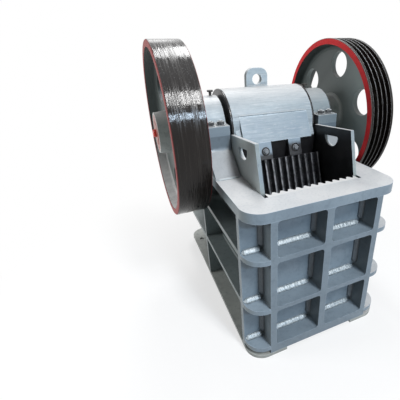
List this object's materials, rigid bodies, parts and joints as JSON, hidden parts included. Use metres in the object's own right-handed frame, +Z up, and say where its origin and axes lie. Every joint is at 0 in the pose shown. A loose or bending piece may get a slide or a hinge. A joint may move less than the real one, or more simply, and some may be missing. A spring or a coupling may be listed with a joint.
{
  "type": "jaw crusher",
  "caption": "Jaw crusher: ribbed welded frame, fixed and swing jaw plates, eccentric shaft with a flywheel and a grooved drive pulley.",
  "frame": {"origin": "centre of the four foundation bolt holes, on the underside of the feet", "axes": "+Z up, +X along the shaft towards the grooved pulley, -Y towards the feed side"},
  "size_m": [1.025, 1.252, 1.194],
  "materials": {
    "frame_paint": "semi-gloss grey paint over welded plate",
    "jaw_iron": "black painted manganese steel casting",
    "wheel_iron": "glossy black turned rim, dark grey web, red rim edges",
    "bare_steel": "turned and ground",
    "spring_steel": "black",
    "seal_black": "glossy black",
    "cover_grey": "dark grey paint",
    "grease_metal": "dull"
  },
  "bodies": {
    "frame": {"front_wall": "frame_paint", "front_rib_grid": "frame_paint", "deck_plate": "frame_paint", "rear_wall": "frame_paint", "rear_ribs": "frame_paint", "fixed_jaw_plate": "jaw_iron", "toggle_plate": "bare_steel", "rear_toggle_seat": "bare_steel", "left_corner_flanges": "frame_paint", "left_side_wall": "frame_paint", "left_side_ribs": "frame_paint", "left_base_flange": "frame_paint", "left_bearing_pedestal": "frame_paint", "left_bearing_cap": "frame_paint", "left_bearing_cover": "cover_grey", "left_grease_fitting": "grease_metal", "left_cheek_plate": "frame_paint", "right_corner_flanges": "frame_paint", "right_side_wall": "frame_paint", "right_side_ribs": "frame_paint", "right_base_flange": "frame_paint", "right_bearing_pedestal": "frame_paint", "right_bearing_cap": "frame_paint", "right_bearing_cover": "cover_grey", "right_grease_fitting": "grease_metal", "right_cheek_plate": "frame_paint"},
    "rotor": {"eccentric_shaft": "bare_steel", "flywheel_rim": "wheel_iron", "flywheel_web": "wheel_iron", "flywheel_hub": "wheel_iron", "pulley_rim": "wheel_iron", "pulley_web": "wheel_iron", "pulley_hub": "wheel_iron"},
    "swing_jaw": {"pitman": "frame_paint", "apron_plate": "frame_paint", "moving_jaw_plate": "jaw_iron", "lifting_lug": "frame_paint", "front_toggle_seat": "bare_steel", "tension_rod": "bare_steel", "tension_spring": "spring_steel", "spring_nut": "bare_steel", "left_end_seal": "seal_black", "left_jaw_clamp": "frame_paint", "right_end_seal": "seal_black", "right_jaw_clamp": "frame_paint"}
  },
  "joints": [
    {"name": "rotor_spin", "type": "hinge", "parent": "frame", "child": "rotor", "pos_m": [0, 0.0615, 0.829], "axis": [1, 0, 0], "continuous": true},
    {"name": "jaw_swing", "type": "hinge", "parent": "frame", "child": "swing_jaw", "pos_m": [0, 0.0615, 0.829], "axis": [1, 0, 0], "range_deg": [-0.6, 0.6]}
  ]
}
